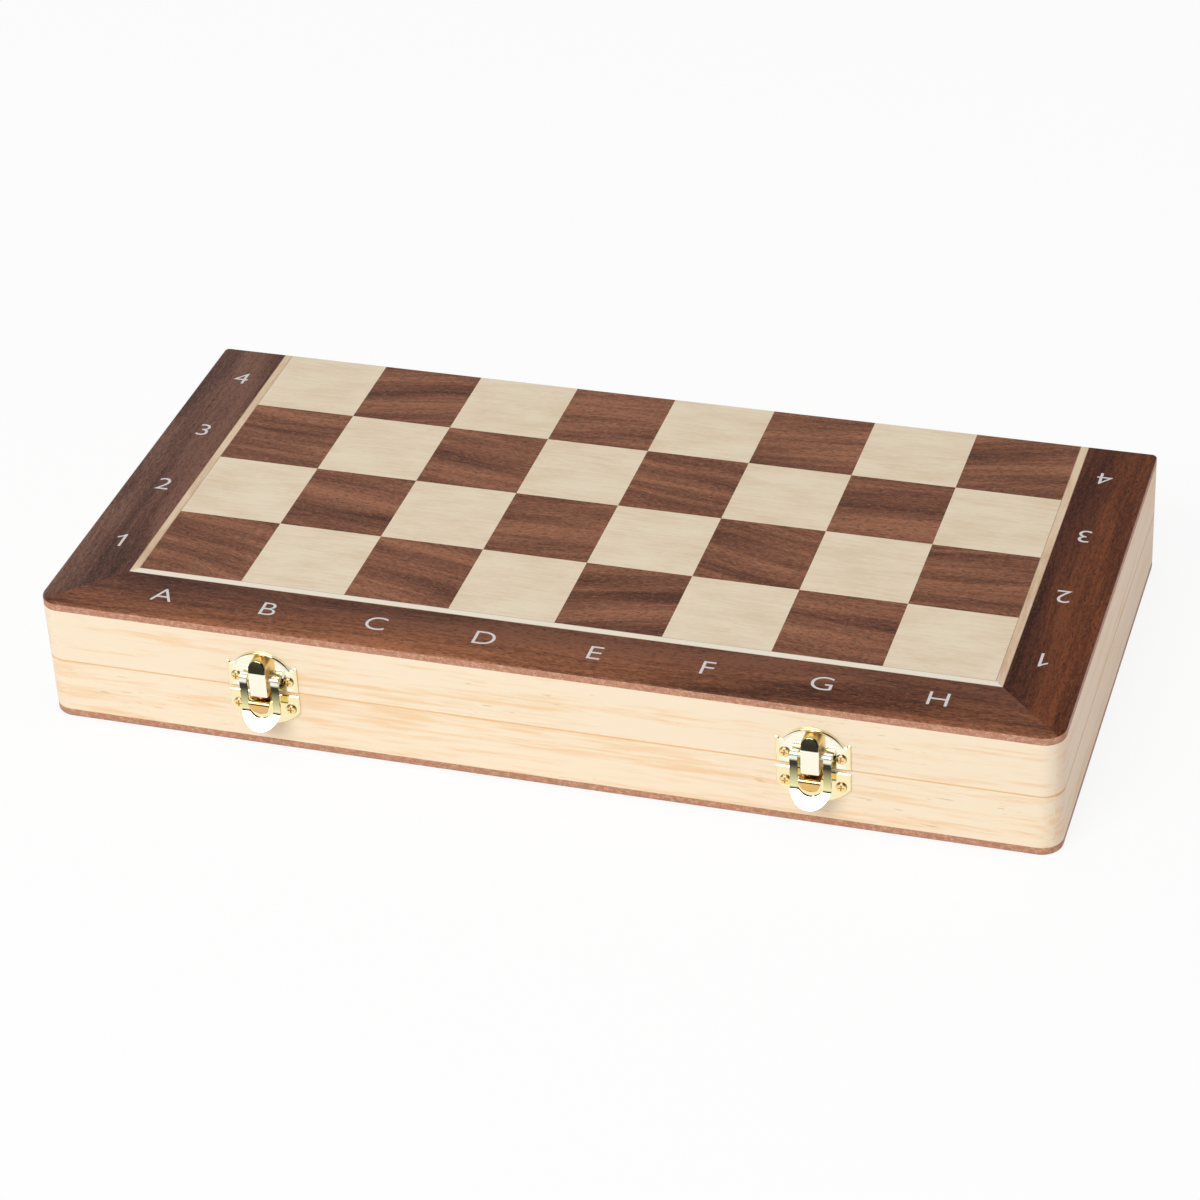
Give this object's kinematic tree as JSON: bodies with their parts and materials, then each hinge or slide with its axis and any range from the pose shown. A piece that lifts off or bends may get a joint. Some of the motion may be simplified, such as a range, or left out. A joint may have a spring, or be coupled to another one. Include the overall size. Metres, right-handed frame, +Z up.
{
  "type": "folding chess and checkers set",
  "caption": "Folding wooden board box: two hinged inlaid halves close with ring clasps and hold chessmen and checkers; opens flat into a playing board.",
  "frame": {"origin": "middle of the face that the closed box rests on", "axes": "+X along the fold from the A file to the H file, +Y from the clasps to the hinges, +Z up"},
  "size_m": [0.383, 0.203, 0.051],
  "materials": {
    "walnut_veneer": "satin lacquer over dark walnut veneer",
    "maple_veneer": "satin lacquer over pale maple veneer",
    "panel_core": "lacquered reddish-brown panel edge",
    "pine": "satin lacquer over pale pine",
    "felt": "short napped felt",
    "clasp_gold": "bright gold-coloured plating",
    "hinge_brass": "plated, slightly duller than the clasps",
    "light_men": "polished pale boxwood",
    "dark_men": "polished dark walnut"
  },
  "bodies": {
    "base": {"base_back_wall": "pine", "base_core_panel": "panel_core", "base_dark_squares": "walnut_veneer", "base_felt": "felt", "base_front_border": "walnut_veneer", "base_front_wall": "pine", "base_hinge_screws": "hinge_brass", "base_latch_screws": "clasp_gold", "base_left_border": "walnut_veneer", "base_left_wall": "pine", "base_light_squares": "maple_veneer", "base_right_border": "walnut_veneer", "base_right_wall": "pine", "base_stringing": "maple_veneer", "dark_bishops": "dark_men", "dark_checkers": "dark_men", "dark_king": "dark_men", "dark_knights": "dark_men", "dark_pawns": "dark_men", "dark_queen": "dark_men", "dark_rooks": "dark_men", "left_hinge_base_leaf": "hinge_brass", "left_hinge_pin": "hinge_brass", "left_latch_hook_plate": "clasp_gold", "light_bishops": "light_men", "light_checkers": "light_men", "light_king": "light_men", "light_knights": "light_men", "light_pawns": "light_men", "light_queen": "light_men", "light_rooks": "light_men", "right_hinge_base_leaf": "hinge_brass", "right_hinge_pin": "hinge_brass", "right_latch_hook_plate": "clasp_gold"},
    "lid": {"left_hinge_lid_leaf": "hinge_brass", "left_latch_hood": "clasp_gold", "left_latch_lid_plate": "clasp_gold", "left_latch_pin": "clasp_gold", "lid_back_wall": "pine", "lid_core_panel": "panel_core", "lid_dark_squares": "walnut_veneer", "lid_felt": "felt", "lid_front_border": "walnut_veneer", "lid_front_wall": "pine", "lid_hinge_screws": "hinge_brass", "lid_latch_screws": "clasp_gold", "lid_left_border": "walnut_veneer", "lid_left_wall": "pine", "lid_light_squares": "maple_veneer", "lid_right_border": "walnut_veneer", "lid_right_wall": "pine", "lid_stringing": "maple_veneer", "right_hinge_lid_leaf": "hinge_brass", "right_latch_hood": "clasp_gold", "right_latch_lid_plate": "clasp_gold", "right_latch_pin": "clasp_gold"},
    "left_lever": {"left_latch_lever": "clasp_gold"},
    "right_lever": {"right_latch_lever": "clasp_gold"}
  },
  "joints": [
    {"name": "lid_hinge", "type": "hinge", "parent": "base", "child": "lid", "pos_m": [0, 0.0958, 0.0255], "axis": [-1, 0, 0], "range_deg": [0, 180]},
    {"name": "left_lever_pivot", "type": "hinge", "parent": "lid", "child": "left_lever", "pos_m": [-0.1035, -0.09885, 0.032], "axis": [-1, 0, 0], "range_deg": [0, 120]},
    {"name": "right_lever_pivot", "type": "hinge", "parent": "lid", "child": "right_lever", "pos_m": [0.1035, -0.09885, 0.032], "axis": [-1, 0, 0], "range_deg": [0, 120]}
  ]
}
